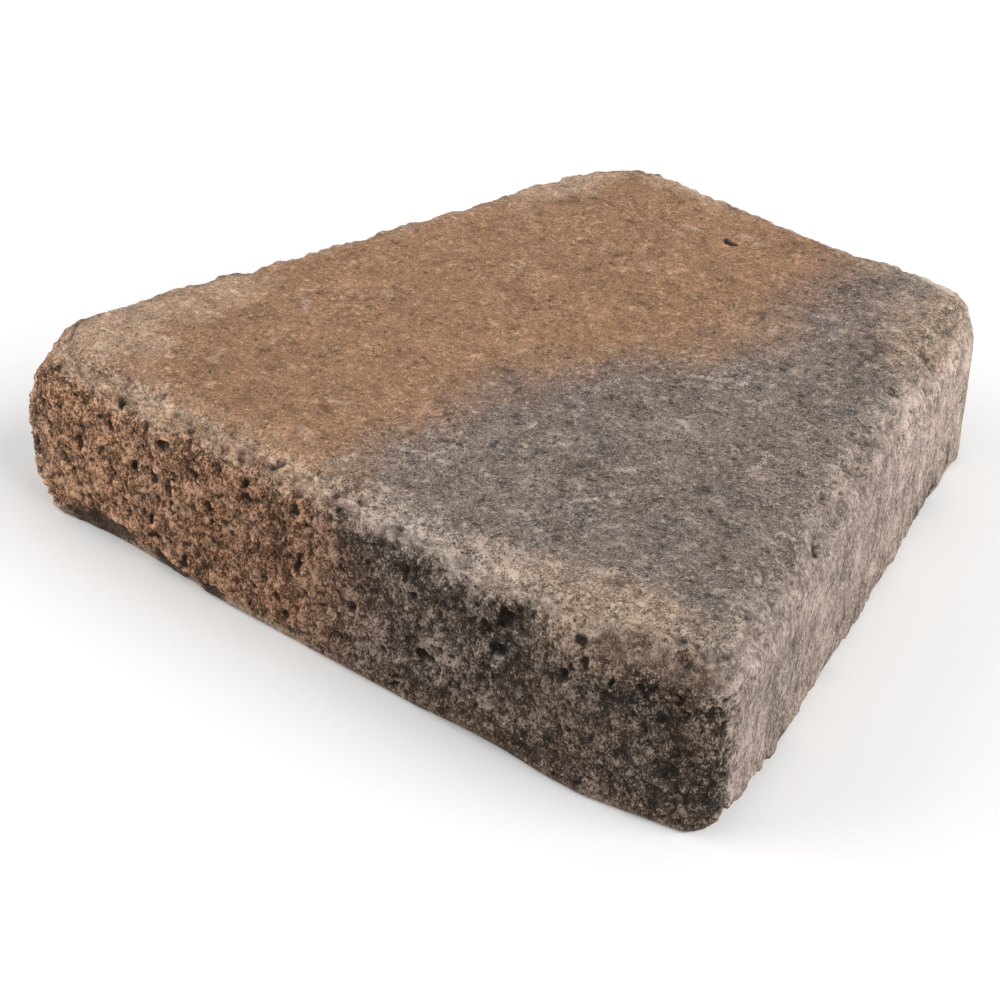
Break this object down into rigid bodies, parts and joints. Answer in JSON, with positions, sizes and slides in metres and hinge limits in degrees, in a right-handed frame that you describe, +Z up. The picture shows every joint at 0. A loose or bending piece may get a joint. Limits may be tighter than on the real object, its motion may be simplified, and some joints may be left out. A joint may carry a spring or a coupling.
{
  "type": "retaining wall cap",
  "caption": "Tapered concrete cap that finishes the top of a garden retaining wall, cast solid and tumbled, with rolled arrises, worn corners and a pitted split face.",
  "frame": {"origin": "on the bed face, under the middle of the block's bounding box", "axes": "+X along the wide face, to the right as seen from in front; +Y from the face back to the narrow tail; +Z up from the bed"},
  "size_m": [0.352, 0.305, 0.076],
  "materials": {
    "tumbled_concrete": "tan and charcoal blended concrete, tumbled, matt and sandy, with worn pale arrises"
  },
  "bodies": {
    "root": {"wall_cap": "tumbled_concrete"}
  },
  "joints": []
}
